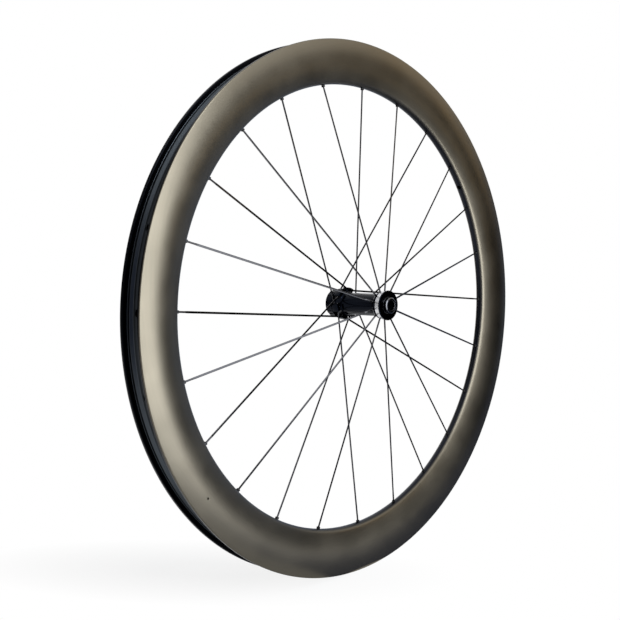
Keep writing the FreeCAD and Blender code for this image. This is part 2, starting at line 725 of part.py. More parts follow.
# Ball bearings. Each has two grooved races, a row of balls in a crown cage, and two seals that are
# held in the outer race and just clear the inner one.
RACE_IN = "(dim.bearing_bore / 2)"
RACE_OUT = "(dim.bearing_outer_dia / 2)"
PITCH_R = f"(({RACE_IN} + {RACE_OUT}) / 2)"
INNER_SHOULDER = f"({PITCH_R} - dim.race_gap / 2)"
OUTER_SHOULDER = f"({PITCH_R} + dim.race_gap / 2)"
GROOVE_R = "(dim.ball_dia / 2 + dim.ball_play)"
GROOVE_REACH = f"sqrt({GROOVE_R}^2 - dim.race_gap^2 / 4)"
HALF_WIDTH = "(dim.bearing_width / 2)"
for side, sign in (("right", -1), ("left", 1)):
    centre = f"({sign} * dim.{side}_bearing_centre)"
    low = f"({centre} - {HALF_WIDTH})"
    high = f"({centre} + {HALF_WIDTH})"
    turned_piece(
        f"{side}_inner_race",
        [
            (low, RACE_IN),
            (high, RACE_IN),
            (high, INNER_SHOULDER),
            (f"{centre} + {GROOVE_REACH}", INNER_SHOULDER),
            (f"{centre} - {GROOVE_REACH}", INNER_SHOULDER),
            (low, INNER_SHOULDER),
        ],
        {3: f"-{GROOVE_R}"},
    )
    turned_piece(
        f"{side}_outer_race",
        [
            (low, RACE_OUT),
            (low, OUTER_SHOULDER),
            (f"{centre} - {GROOVE_REACH}", OUTER_SHOULDER),
            (f"{centre} + {GROOVE_REACH}", OUTER_SHOULDER),
            (high, OUTER_SHOULDER),
            (high, RACE_OUT),
        ],
        {2: f"-{GROOVE_R}"},
    )
    for place, face in (("inner", low if sign > 0 else high), ("outer", high if sign > 0 else low)):
        depth = "+" if face == low else "-"
        edges = sorted((face, f"({face} {depth} dim.seal_thickness)"), key=value)
        lip = f"({INNER_SHOULDER} + dim.seal_lip_gap)"
        rim_r = f"({OUTER_SHOULDER} - dim.bearing_fit)"
        turned_piece(
            f"{side}_{place}_seal",
            [(edges[0], lip), (edges[1], lip), (edges[1], rim_r), (edges[0], rim_r)],
        )

    row = doc.addObject("Part::Compound", f"{side}_balls")
    row.Label = f"{side}_balls"
    ball_count = int(value("dim.ball_count"))
    balls = []
    for number in range(ball_count):
        ball = doc.addObject("Part::Sphere", f"{side}_ball_{number + 1}")
        bind(ball, Radius="dim.ball_dia / 2")
        ball.Placement = at_angle(number * 360 / ball_count, value(PITCH_R), value(centre))
        balls.append(ball)
    row.Links = balls
    PARTS.append(row)

    cage_in = f"({INNER_SHOULDER} + dim.cage_gap)"
    cage_out = f"({OUTER_SHOULDER} - dim.cage_gap)"
    base_near = f"({centre} + dim.ball_dia / 2 + dim.ball_play)"
    base_far = f"({base_near} + dim.cage_base_thickness)"
    post_end = f"({centre} - dim.cage_post_reach)"
    cage = turned_piece(
        f"{side}_cage",
        [(base_near, cage_in), (base_far, cage_in), (base_far, cage_out), (base_near, cage_out)],
    )
    post_section = new_sketch(
        cage,
        f"{side}_post_section",
        "YZ_Plane",
        [([(post_end, cage_in), (base_far, cage_in), (base_far, cage_out), (post_end, cage_out)], {})],
    )
    post = revolve(cage, post_section, "H_Axis", value("dim.cage_post_angle"))
    bind(post, Angle="dim.cage_post_angle")
    round_the_axle(cage, post, "dim.ball_count")
    cage.Placement = at_angle(180 / ball_count - 90)

doc.recompute()
for item in doc.Objects:
    if "Invalid" in item.State or "Error" in item.State:
        raise RuntimeError(f"{item.Label} could not be built: {item.State}")
for piece in PARTS:
    if piece.Shape.isNull() or not piece.Shape.isValid():
        raise RuntimeError(f"{piece.Label} has no valid shape")

os.makedirs("parts", exist_ok=True)
for piece in PARTS:
    piece.Shape.exportStep(f"parts/{piece.Label}.step")
    print(piece.Label, len(piece.Shape.Solids), round(piece.Shape.Volume, 2))
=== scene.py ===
import math

import bmesh
import bpy
from mathutils import Matrix, Quaternion, Vector


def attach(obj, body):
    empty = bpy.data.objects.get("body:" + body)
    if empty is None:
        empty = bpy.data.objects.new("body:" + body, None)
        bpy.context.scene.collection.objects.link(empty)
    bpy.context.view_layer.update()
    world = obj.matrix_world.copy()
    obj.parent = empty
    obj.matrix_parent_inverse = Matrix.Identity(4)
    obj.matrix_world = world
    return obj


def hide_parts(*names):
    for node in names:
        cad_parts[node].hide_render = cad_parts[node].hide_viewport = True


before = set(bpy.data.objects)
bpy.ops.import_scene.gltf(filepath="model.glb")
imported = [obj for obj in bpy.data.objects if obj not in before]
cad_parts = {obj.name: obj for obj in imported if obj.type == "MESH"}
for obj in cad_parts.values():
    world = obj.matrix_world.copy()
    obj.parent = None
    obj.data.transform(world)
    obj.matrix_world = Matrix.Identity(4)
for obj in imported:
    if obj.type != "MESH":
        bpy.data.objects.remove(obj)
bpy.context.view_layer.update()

# Rim. A hollow moulding of carbon fibre and epoxy, cured in a two-part tool and left with a satin skin.
# Its bed is drilled over each nipple, its nose along each spoke, both of them for the valve, and its
# right side for a small drain.
mm = 0.001
spoke_count = 24
spoke_pitch = 360 / spoke_count
first_spoke = 0.3
rim_radius = 316.5
rim_half_width = 16.0
lip_inner_half = 12.0
bead_seat_radius = 311.0
shelf_half = 8.5
well_radius = 308.0
well_half = 6.5
widest_radius = 306.0
nose_radius = 266.0
nose_round = 8.0
side_wall = 1.1
bed_wall = 1.4
nose_wall = 2.8
lip_outer_fillet = 1.1
lip_inner_fillet = 1.3
bead_fillet = 0.6
shelf_fillet = 0.5
well_fillet = 1.2
rim_facets = 432
side_steps = 18
nose_steps = 12
hollow_steps = 10


def arc(centre, radius, start, end, steps):
    """Points of an arc in the section's plane, with its angles in degrees."""
    angles = [math.radians(start + (end - start) * i / steps) for i in range(steps + 1)]
    return [(centre[0] + radius * math.cos(a), centre[1] + radius * math.sin(a)) for a in angles]


def rounded(corners, steps=4, longest_share=0.45):
    """A closed outline. A corner is (place along the axle, radius) and, where it is eased, its fillet."""
    outline = []
    for i, corner in enumerate(corners):
        here = Vector(corner[:2])
        if len(corner) == 2:
            outline.append(tuple(here))
            continue
        back = Vector(corners[i - 1][:2]) - here
        ahead = Vector(corners[(i + 1) % len(corners)][:2]) - here
        reach = corner[2] / math.tan(back.angle(ahead) / 2)
        reach = min(reach, longest_share * back.length, longest_share * ahead.length)
        start = here + back.normalized() * reach
        end = here + ahead.normalized() * reach
        for step in range(steps + 1):
            t = step / steps
            outline.append(tuple(start * (1 - t) ** 2 + here * 2 * t * (1 - t) + end * t**2))
    return outline


def new_piece(name, vertices, faces):
    """A mesh object at the origin, from points in millimetres."""
    mesh = bpy.data.meshes.new(name)
    mesh.from_pydata([Vector(v) * mm for v in vertices], [], faces)
    piece = bpy.data.objects.new(name, mesh)
    bpy.context.scene.collection.objects.link(piece)
    return piece


def turned(name, outlines, facets):
    """A piece turned about the axle from outlines that run anticlockwise round the solid.
    Its UV map is in millimetres, round the axle and then along the outline."""
    vertices, faces, uvs = [], [], []
    for outline in outlines:
        count, first = len(outline), len(vertices)
        mean_radius = sum(radius for place, radius in outline) / count
        step = 2 * math.pi / facets
        for place, radius in outline:
            for j in range(facets):
                vertices.append((radius * math.cos(j * step), place, radius * math.sin(j * step)))
        run = 0.0
        for i, point in enumerate(outline):
            here, ahead = first + i * facets, first + (i + 1) % count * facets
            run_on = run + math.dist(point, outline[(i + 1) % count])
            for j in range(facets):
                beside = (j + 1) % facets
                faces.append((here + j, here + beside, ahead + beside, ahead + j))
                u, u_on = j * step * mean_radius, (j + 1) * step * mean_radius
                uvs += [u, run, u_on, run, u_on, run_on, u, run_on]
            run = run_on
    piece = new_piece(name, vertices, faces)
    piece.data.uv_layers.new(name="UVMap").data.foreach_set("uv", uvs)
    return piece


def along(start, direction):
    """A matrix in millimetres whose Z runs along a direction and whose Y leans least from the axle's."""
    z_axis = Vector(direction).normalized()
    x_axis = Vector((0, 1, 0)).cross(z_axis).normalized()
    turn = Matrix((x_axis, z_axis.cross(x_axis), z_axis)).transposed()
    return Matrix.Translation(start) @ turn.to_4x4()


def lofted(name, rings, place):
    """A closed piece through rings of points, which run anticlockwise about its length."""
    count = len(rings[0])
    vertices = [place @ Vector(point) for ring in rings for point in ring]
    faces = [tuple(reversed(range(count)))]
    for i in range(len(rings) - 1):
        for j in range(count):
            beside = (j + 1) % count
            faces.append(
                (i * count + j, i * count + beside, (i + 1) * count + beside, (i + 1) * count + j)
            )
    faces.append(tuple(range((len(rings) - 1) * count, len(rings) * count)))
    return new_piece(name, vertices, faces)


def oval(half_width, half_thickness, z, squareness=2.0, points=24):
    """A ring of points at a height: round or oval at a squareness of 2, flatter-sided above it."""
    ring = []
    for i in range(points):
        angle = 2 * math.pi * (i + 0.5) / points
        x, y = math.cos(angle), math.sin(angle)
        ring.append(
            (
                half_width * math.copysign(abs(x) ** (2 / squareness), x),
                half_thickness * math.copysign(abs(y) ** (2 / squareness), y),
                z,
            )
        )
    return ring


def peg(name, radius, start, direction, length):
    """A round cutter from a point along a direction."""
    return lofted(name, [oval(radius, radius, z) for z in (0, length)], along(start, direction))


def node(tree, kind, sockets=None, **settings):
    """Adds a node. Sockets gives each named input a value or the output that feeds it."""
    made = tree.nodes.new(kind)
    for name, setting in settings.items():
        setattr(made, name, setting)
    for name, value in (sockets or {}).items():
        if isinstance(value, bpy.types.NodeSocket):
            tree.links.new(value, made.inputs[name])
        else:
            made.inputs[name].default_value = value
    return made


# Geometry Nodes tree that repeats whatever it is given evenly round the axle.
ring_tree = bpy.data.node_groups.new("round_the_axle", "GeometryNodeTree")
for name, kind in (
    ("Geometry", "NodeSocketGeometry"),
    ("Copies", "NodeSocketInt"),
    ("First Angle", "NodeSocketFloat"),
    ("Material", "NodeSocketMaterial"),
):
    ring_tree.interface.new_socket(name, in_out="INPUT", socket_type=kind)
ring_tree.interface.new_socket("Geometry", in_out="OUTPUT", socket_type="NodeSocketGeometry")
given = node(ring_tree, "NodeGroupInput").outputs
places = node(ring_tree, "GeometryNodePoints", {"Count": given["Copies"]})
number = node(ring_tree, "GeometryNodeInputIndex")
share = node(
    ring_tree,
    "ShaderNodeMath",
    {0: number.outputs["Index"], 1: given["Copies"]},
    operation="DIVIDE",
)
angle = node(
    ring_tree,
    "ShaderNodeMath",
    {0: share.outputs[0], 1: 2 * math.pi, 2: given["First Angle"]},
    operation="MULTIPLY_ADD",
)
turn_back = node(ring_tree, "ShaderNodeMath", {0: angle.outputs[0], 1: -1.0}, operation="MULTIPLY")
turn = node(ring_tree, "ShaderNodeCombineXYZ", {"Y": turn_back.outputs[0]})
copies = node(
    ring_tree,
    "GeometryNodeInstanceOnPoints",
    {
        "Points": places.outputs[0],
        "Instance": given["Geometry"],
        "Rotation": turn.outputs[0],
    },
)
real = node(ring_tree, "GeometryNodeRealizeInstances", {"Geometry": copies.outputs[0]})
painted = node(
    ring_tree,
    "GeometryNodeSetMaterial",
    {"Geometry": real.outputs[0], "Material": given["Material"]},
)
node(ring_tree, "NodeGroupOutput", {"Geometry": painted.outputs[0]})


def repeat_round_axle(piece, copies, first_angle, material=None):
    """Repeats a piece round the axle, from an angle of the wheel in degrees, and leaves a plain mesh."""
    ring = piece.modifiers.new("round_the_axle", "NODES")
    ring.node_group = ring_tree
    values = {"Copies": copies, "First Angle": math.radians(first_angle), "Material": material}
    for socket in ring_tree.interface.items_tree:
        if socket.name in values and values[socket.name] is not None:
            ring[socket.identifier] = values[socket.name]
    bake(piece)
    return piece


def bake(piece):
    """Turns what a piece's modifiers make into its plain mesh."""
    seen = piece.evaluated_get(bpy.context.evaluated_depsgraph_get())
    mesh = bpy.data.meshes.new_from_object(seen)
    piece.modifiers.clear()
    piece.data = mesh


def cut(piece, *cutters):
    """Takes the cutters out of a piece."""
    for cutter in cutters:
        hole = piece.modifiers.new("cut", "BOOLEAN")
        hole.operation = "DIFFERENCE"
        hole.solver = "EXACT"
        hole.object = cutter
        bake(piece)
        bpy.data.objects.remove(cutter)


def fit(piece, material, body, slot, *nodes, crease=30):
    """Finishes a piece: its material, smooth faces between creases, its body and what it stands for."""
    piece.data.materials.clear()
    piece.data.materials.append(material)
    piece.data.shade_smooth()
    piece.data.set_sharp_from_angle(angle=math.radians(crease))
    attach(piece, body)
    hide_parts(*nodes)


nose_centre = nose_radius + nose_round
side_drop = widest_radius - nose_centre
side_round = (rim_half_width**2 + side_drop**2 - nose_round**2) / (2 * (rim_half_width - nose_round))
side_centre = rim_half_width - side_round
side_end = math.degrees(math.asin(-side_drop / (side_round - nose_round)))
hollow_round = side_round - side_wall
land_radius = nose_radius + nose_wall
land_angle = math.degrees(math.asin((land_radius - widest_radius) / hollow_round))
right_side = arc((-side_centre, widest_radius), side_round, 180, 180 - side_end, side_steps)
nose = arc((0, nose_centre), nose_round, 180 - side_end, 360 + side_end, nose_steps)
left_side = arc((side_centre, widest_radius), side_round, side_end, 0, side_steps)
upper = rounded(
    [
        (rim_half_width, widest_radius),
        (rim_half_width, rim_radius, lip_outer_fillet),
        (lip_inner_half, rim_radius, lip_inner_fillet),
        (lip_inner_half, bead_seat_radius, bead_fillet),
        (shelf_half, bead_seat_radius, shelf_fillet),
        (well_half, well_radius, well_fillet),
        (-well_half, well_radius, well_fillet),
        (-shelf_half, bead_seat_radius, shelf_fillet),
        (-lip_inner_half, bead_seat_radius, bead_fillet),
        (-lip_inner_half, rim_radius, lip_inner_fillet),
        (-rim_half_width, rim_radius, lip_outer_fillet),
        (-rim_half_width, widest_radius),
    ]
)
skin = upper + right_side[1:] + nose[1:] + left_side[1:-1]
hollow_half = rim_half_width - side_wall
hollow = (
    [
        (hollow_half, bead_seat_radius - bed_wall),
        (shelf_half, bead_seat_radius - bed_wall),
        (well_half, well_radius - bed_wall),
        (-well_half, well_radius - bed_wall),
        (-shelf_half, bead_seat_radius - bed_wall),
        (-hollow_half, bead_seat_radius - bed_wall),
    ]
    + arc((-side_centre, widest_radius), hollow_round, 180, 180 - land_angle, hollow_steps)
    + arc((side_centre, widest_radius), hollow_round, land_angle, 0, hollow_steps)
)
rim = turned("rim_moulding", [skin, hollow[::-1]], rim_facets)

# Where the spokes run, as it sets the nose's holes: each has its head's seat and its direction when
# its rim end is at angle 0, then the angle of the first one and how many there are.
right_head_radius = 14.6
right_flange = -36.0
left_flange = 24.4
left_row = 1.9
tangent_radius = 16.5
head_setback = 1.0
rim_end = Vector((nose_radius, 0, 0))
right_head = Vector((right_head_radius, right_flange, 0))
laced = {"right": (right_head, rim_end - right_head, first_spoke + spoke_pitch, spoke_count // 2)}
swing = math.acos(tangent_radius / nose_radius)
for name, lean, steps_on in (("left_lead", 1, 0), ("left_trail", -1, 2)):
    foot = Vector(
        (
            tangent_radius * math.cos(swing),
            left_flange + lean * left_row,
            lean * tangent_radius * math.sin(swing),
        )
    )
    head = foot - (rim_end - foot).normalized() * head_setback
    laced[name] = (head, rim_end - head, first_spoke + steps_on * spoke_pitch, spoke_count // 4)

access_hole = 3.8
spoke_hole = 2.3
valve_hole = 3.25
drain_hole = 1.2
drain_radius = 299.0
valve_pitches = 2.5
valve_angle = first_spoke + valve_pitches * spoke_pitch
cutter_lead = 4.0
access_depth = 10.0
spoke_hole_depth = 12.0
valve_depth = 50.0
drain_lead = 2.0
drain_depth = 6.0
access = peg("access_cutter", access_hole, (well_radius - cutter_lead, 0, 0), (1, 0, 0), access_depth)
repeat_round_axle(access, spoke_count, first_spoke)
spoke_cutters = []
for name, (head, direction, first, copies_wanted) in laced.items():
    start = head + direction - direction.normalized() * cutter_lead
    cutter = peg(f"{name}_cutter", spoke_hole, start, direction, spoke_hole_depth)
    spoke_cutters.append(repeat_round_axle(cutter, copies_wanted, first))
valve = peg("valve_cutter", valve_hole, (nose_radius - cutter_lead, 0, 0), (1, 0, 0), valve_depth)
repeat_round_axle(valve, 1, valve_angle)
drain_turn = math.radians(valve_angle + 180)
drain_start = (
    drain_radius * math.cos(drain_turn),
    -rim_half_width - drain_lead,
    drain_radius * math.sin(drain_turn),
)
drain = lofted(
    "drain_cutter",
    [oval(drain_hole, drain_hole, z) for z in (0, drain_depth)],
    Matrix.Translation(drain_start) @ Matrix.Rotation(math.radians(-90), 4, "X"),
)
cut(rim, access, *spoke_cutters, valve, drain)


def linear(colour):
    """An sRGB hex colour as linear red, green, blue and alpha."""
    parts = [int(colour[i : i + 2], 16) / 255 for i in (1, 3, 5)]
    return (*[p / 12.92 if p <= 0.04045 else ((p + 0.055) / 1.055) ** 2.4 for p in parts], 1.0)


def new_material(name):
    """A material's node tree and its shader."""
    material = bpy.data.materials.new(name)
    material.use_nodes = True
    return material, material.node_tree, material.node_tree.nodes["Principled BSDF"]


# Unidirectional carbon under a satin skin. The fibres glint like graphite, warm grey where they face a
# light and black elsewhere, in fine slanting streaks with faint patches and waves from the moulding.
# The streaks are drawn wider than real fibre tows so that they show. Between the rim's edges the bed
# has painted shade, near black on the lips and a dark blue-grey painted sheen in the channel, and the
# nose has painted shade that makes it darker than the sides.
carbon, tree, shader = new_material("satin_carbon_fibre")
streak_width = 2.5
streak_length = 60.0
streak_lean = 6.0
patch_size = 42.0
wave_height = 0.25
bed_edge = 0.9
bed_depth = 0.5
lip_edge = 0.6
nose_edge = 0.4
nose_fade = 2.0
coordinates = node(tree, "ShaderNodeTexCoord")
laid = node(
    tree,
    "ShaderNodeMapping",
    {
        "Vector": coordinates.outputs["UV"],
        "Rotation": (0, 0, math.radians(streak_lean)),
        "Scale": (streak_length, streak_width, 1),
    },
    vector_type="TEXTURE",
)
streaks = node(
    tree,
    "ShaderNodeTexNoise",
    {"Vector": laid.outputs[0], "Scale": 1.0, "Detail": 3.0, "Roughness": 0.6},
)
patches = node(
    tree,
    "ShaderNodeTexNoise",
    {"Vector": coordinates.outputs["Object"], "Scale": 1 / (patch_size * mm), "Detail": 2.0},
)
tone = node(
    tree,
    "ShaderNodeMix",
    {"Factor": streaks.outputs["Fac"], 6: linear("#605c52"), 7: linear("#676156")},
    data_type="RGBA",
)
streak_gloss = node(
    tree,
    "ShaderNodeMapRange",
    {"Value": streaks.outputs["Fac"], "To Min": 0.345, "To Max": 0.305},
)
patch_gloss = node(
    tree,
    "ShaderNodeMapRange",
    {
        "Value": patches.outputs["Fac"],
        "From Min": 0.3,
        "From Max": 0.7,
        "To Min": -0.015,
        "To Max": 0.045,
    },
)
gloss = node(
    tree,
    "ShaderNodeMath",
    {0: streak_gloss.outputs[0], 1: patch_gloss.outputs[0]},
    operation="ADD",
)
place = node(tree, "ShaderNodeSeparateXYZ", {0: coordinates.outputs["Object"]})
across = node(tree, "ShaderNodeMath", {0: place.outputs["Y"]}, operation="ABSOLUTE")
flat = node(tree, "ShaderNodeCombineXYZ", {"X": place.outputs["X"], "Z": place.outputs["Z"]})
from_axle = node(tree, "ShaderNodeVectorMath", {0: flat.outputs[0]}, operation="LENGTH")
# Painted shade in the tyre bed: its lips and inner walls are painted near black, and its channel a dark
# blue-grey that stands in for a faint sheen.
between_sides = node(
    tree,
    "ShaderNodeMath",
    {0: across.outputs[0], 1: (rim_half_width - bed_edge) * mm},
    operation="LESS_THAN",
)
outside_bed = node(
    tree,
    "ShaderNodeMath",
    {0: from_axle.outputs["Value"], 1: (well_radius - bed_depth) * mm},
    operation="GREATER_THAN",
)
in_bed = node(
    tree,
    "ShaderNodeMath",
    {0: between_sides.outputs[0], 1: outside_bed.outputs[0]},
    operation="MULTIPLY",
)
on_lips = node(
    tree,
    "ShaderNodeMath",
    {0: from_axle.outputs["Value"], 1: (bead_seat_radius + lip_edge) * mm},
    operation="GREATER_THAN",
)
bed_painted_shade_and_sheen = node(
    tree,
    "ShaderNodeMix",
    {"Factor": on_lips.outputs[0], 6: linear("#43484d"), 7: linear("#0d0e12")},
    data_type="RGBA",
)
tone_with_painted_bed_shade = node(
    tree,
    "ShaderNodeMix",
    {"Factor": in_bed.outputs[0], 6: tone.outputs[2], 7: bed_painted_shade_and_sheen.outputs[2]},
    data_type="RGBA",
)
# Painted shade along the nose: within two millimetres of its innermost edge the tone fades to a dark
# grey-blue.
near_nose = node(
    tree,
    "ShaderNodeMapRange",
    {
        "Value": from_axle.outputs["Value"],
        "From Min": (nose_radius + nose_edge) * mm,
        "From Max": (nose_radius + nose_fade) * mm,
        "To Min": 1.0,
        "To Max": 0.0,
    },
)
tone_with_painted_nose_shade = node(
    tree,
    "ShaderNodeMix",
    {"Factor": near_nose.outputs[0], 6: tone_with_painted_bed_shade.outputs[2], 7: linear("#23252b")},
    data_type="RGBA",
)
tree.links.new(tone_with_painted_nose_shade.outputs[2], shader.inputs["Base Color"])
tree.links.new(gloss.outputs[0], shader.inputs["Roughness"])
waves = node(
    tree,
    "ShaderNodeBump",
    {"Height": patches.outputs["Fac"], "Strength": 1.0, "Distance": wave_height * mm},
)
tree.links.new(waves.outputs[0], shader.inputs["Normal"])
shader.inputs["Metallic"].default_value = 1.0
fit(rim, carbon, "wheel", "carbon", "rim", crease=28)

# Nipples. Turned aluminium nuts, anodised black, that hold the spokes in the nose: a square neck for
# the key stands out towards the hub, and a coned head seats inside the hollow.
nipple_reach = 2.4
neck_half = 1.65
neck_length = 2.0
barrel_radius = 2.0
cone_start = 2.95
head_radius = 3.0
nipple_top = 5.45
neck_squareness = 6.0
neck_ease = 0.25
neck_ease_length = 0.3
neck_shoulder = 0.2
head_ease = 0.5
neck_end = neck_length - nipple_reach
nipple_rings = [
    oval(neck_half - neck_ease, neck_half - neck_ease, -nipple_reach, neck_squareness),
    oval(neck_half, neck_half, -nipple_reach + neck_ease_length, neck_squareness),
    oval(neck_half, neck_half, neck_end - neck_shoulder, neck_squareness),
    oval(barrel_radius, barrel_radius, neck_end),
    oval(barrel_radius, barrel_radius, cone_start),
    oval(head_radius, head_radius, cone_start + head_radius - barrel_radius),
    oval(head_radius, head_radius, nipple_top - head_ease),
    oval(head_radius - head_ease, head_radius - head_ease, nipple_top),
]

# Anodised aluminium, tumbled before it was dyed: a dull black with a fine grey grit.
anodised, tree, shader = new_material("black_anodised_aluminium")
grit_size = 0.4
coordinates = node(tree, "ShaderNodeTexCoord")
grit = node(
    tree,
    "ShaderNodeTexNoise",
    {"Vector": coordinates.outputs["Object"], "Scale": 1 / (grit_size * mm), "Detail": 2.0},
)
grit_tone = node(
    tree,
    "ShaderNodeMix",
    {"Factor": grit.outputs["Fac"], 6: linear("#0d0d0f"), 7: linear("#1a1a1c")},
    data_type="RGBA",
)
tree.links.new(grit_tone.outputs[2], shader.inputs["Base Color"])
shader.inputs["Metallic"].default_value = 0.6
shader.inputs["Roughness"].default_value = 0.34


def joined(name, pieces):
    """One piece from several."""
    shape = bmesh.new()
    for piece in pieces:
        shape.from_mesh(piece.data)
        bpy.data.objects.remove(piece)
    whole = new_piece(name, [], [])
    shape.to_mesh(whole.data)
    shape.free()
    return whole


nipple_sets = []
for name, (head, direction, first, copies_wanted) in laced.items():
    nipple = lofted(f"{name}_nipple", nipple_rings, along(head + direction, direction))
    nipple_sets.append(repeat_round_axle(nipple, copies_wanted, first, anodised))
fit(joined("nipple_set", nipple_sets), anodised, "wheel", "nipple", "nipples", crease=35)

# Spokes. Stainless wire with an upset head and a rolled thread, pressed to a thin blade in between
# and coloured black. The right ones run straight out; the left ones cross in two rows.
wire_radius = 1.0
blade_half_width = 1.15
blade_half_thickness = 0.45
butt_length = 12.0
thread_length = 14.0
press_length = 4.0
past_nose = 4.0
spoke_head_radius = 1.75
spoke_head_thickness = 1.1
spoke_head_ease = 0.2
spoke_head_step = 0.02
press_steps = 5
round_squareness = 2.0
blade_squareness = 3.5

# Stainless steel with a black oxide skin, pressed smooth: a dark mirror with faint drawing marks.
black_steel, tree, shader = new_material("black_oxide_stainless_steel")
draw_line = 0.25
coordinates = node(tree, "ShaderNodeTexCoord")
drawn = node(
    tree,
    "ShaderNodeTexNoise",
    {"Vector": coordinates.outputs["Object"], "Scale": 1 / (draw_line * mm), "Detail": 2.0},
)
drawn_gloss = node(
    tree,
    "ShaderNodeMapRange",
    {"Value": drawn.outputs["Fac"], "To Min": 0.09, "To Max": 0.13},
)
drawn_tone = node(
    tree,
    "ShaderNodeMix",
    {"Factor": drawn.outputs["Fac"], 6: linear("#303032"), 7: linear("#38383a")},
    data_type="RGBA",
)
tree.links.new(drawn_tone.outputs[2], shader.inputs["Base Color"])
tree.links.new(drawn_gloss.outputs[0], shader.inputs["Roughness"])
shader.inputs["Metallic"].default_value = 1.0


def spoke_rings(length):
    """Rings of a spoke from its head to its threaded end."""
    eased_radius = spoke_head_radius - spoke_head_ease
    rings = [
        oval(eased_radius, eased_radius, -spoke_head_thickness),
        oval(spoke_head_radius, spoke_head_radius, -spoke_head_thickness + spoke_head_ease),
        oval(spoke_head_radius, spoke_head_radius, -spoke_head_ease),
        oval(eased_radius, eased_radius, 0),
        oval(wire_radius, wire_radius, spoke_head_step),
        oval(wire_radius, wire_radius, butt_length),
    ]
    thread_start = length - thread_length
    for start, towards in ((butt_length, 1), (thread_start, -1)):
        run = []
        for step in range(1, press_steps + 1):
            t = step / press_steps
            ease = t * t * (3 - 2 * t)
            half_width = wire_radius + (blade_half_width - wire_radius) * ease
            half_thickness = wire_radius + (blade_half_thickness - wire_radius) * ease
            squareness = round_squareness + (blade_squareness - round_squareness) * ease
            place = start + towards * press_length * t
            run.append(oval(half_width, half_thickness, place, squareness))
        rings += run if towards > 0 else run[::-1]
    rings += [oval(wire_radius, wire_radius, thread_start), oval(wire_radius, wire_radius, length)]
    return rings


spoke_sets = {}
for name, (head, direction, first, copies_wanted) in laced.items():
    length = direction.length + past_nose
    spoke = lofted(f"{name}_spokes", spoke_rings(length), along(head, direction))
    spoke_sets[name] = repeat_round_axle(spoke, copies_wanted, first, black_steel)
spoke_names = [f"spoke_{number:02d}" for number in range(1, spoke_count // 2 + 1)]
left_set = joined("left_spoke_set", [spoke_sets["left_lead"], spoke_sets["left_trail"]])
fit(left_set, black_steel, "wheel", "spoke_black", *[f"left_{name}" for name in spoke_names])
right_set = joined("right_spoke_set", [spoke_sets["right"]])
fit(right_set, black_steel, "wheel", "spoke_black", *[f"right_{name}" for name in spoke_names])

# Hub shell. Aluminium turned from bar and milled: slots for the right spokes, notched blocks drilled
# for the left ones, and splines for the brake disc. It is polished, then anodised gloss black.
hub_facets = 144
shell_radius = 13.5
shell_fillet = 2.0
bearing_radius = 12.01
bore_radius = 11.0
right_end = -44.2
right_bearing_stop = -39.2
left_bearing_stop = 33.0
left_bearing_end = 39.2
mouth_radius = 14.6
left_end = 43.2
spline_radius = 17.2
spline_chamfer = 1.0
spline_ease = 0.2
shoulder_radius = 18.4
shoulder_start = 31.4
shoulder_end = 33.2
shoulder_ease = 0.3
waist_radius = 15.2
waist_fillet = 0.8
block_radius = 20.0
block_start = 19.9
block_end = 28.9
block_ease = 0.5
flare_radius = 15.1
flare_length = 1.6
flange_back = -33.0
flange_edge_radius = 15.5
flange_shoulder = -34.8
flange_radius = 16.4
flange_face = -37.8
flange_ease = 0.3
flange_round = 0.4
head_groove_radius = 15.0
head_groove_floor = -33.9
spigot_radius = 13.0
shell_outline = rounded(
    [
        (right_end, bearing_radius),
        (right_bearing_stop, bearing_radius),
        (right_bearing_stop, bore_radius),
        (left_bearing_stop, bore_radius),
        (left_bearing_stop, bearing_radius),
        (left_bearing_end, bearing_radius),
        (left_bearing_end, mouth_radius),
        (left_end, mouth_radius, spline_ease),
        (left_end, spline_radius - spline_chamfer, spline_ease),
        (left_end - spline_chamfer, spline_radius, spline_ease),
        (shoulder_end, spline_radius),
        (shoulder_end, shoulder_radius, shoulder_ease),
        (shoulder_start, shoulder_radius, shoulder_ease),
        (shoulder_start, waist_radius, waist_fillet),
        (block_end, waist_radius, waist_fillet),
        (block_end, block_radius, block_ease),
        (block_start, block_radius, block_ease),
        (block_start, flare_radius),
        (block_start - flare_length, shell_radius, shell_fillet),
        (flange_back + flare_length, shell_radius, shell_fillet),
        (flange_back, flare_radius),
        (flange_back, flange_edge_radius, flange_ease),
        (flange_shoulder, flange_radius, flange_round),
        (flange_face, flange_radius, flange_ease),
        (flange_face, head_groove_radius),
        (head_groove_floor, head_groove_radius),
        (head_groove_floor, spigot_radius),
        (right_end, spigot_radius),
    ]
)
shell = turned("hub_shell_turned", [shell_outline], hub_facets)


def bar(name, section, start, end):
    """A cutter with its section across the axle, as (out from the axle, round it) points anticlockwise,
    between two places along the axle."""
    count = len(section)
    points = [(out, place, beside) for place in (start, end) for out, beside in section]
    sides = [(i, i + count, (i + 1) % count + count, (i + 1) % count) for i in range(count)]
    ends = [tuple(range(count)), tuple(reversed(range(count, 2 * count)))]
    return new_piece(name, points, sides + ends)


slot_half = 1.25
slot_inner = 14.0
slot_outer = 31.0
slot_start = -44.0
slot_floor = -34.35
slot_section = [
    (slot_inner, -slot_half),
    (slot_outer, -slot_half),
    (slot_outer, slot_half),
    (slot_inner, slot_half),
]
slots = bar("slot_cutter", slot_section, slot_start, slot_floor)
repeat_round_axle(slots, spoke_count // 2, first_spoke + spoke_pitch)

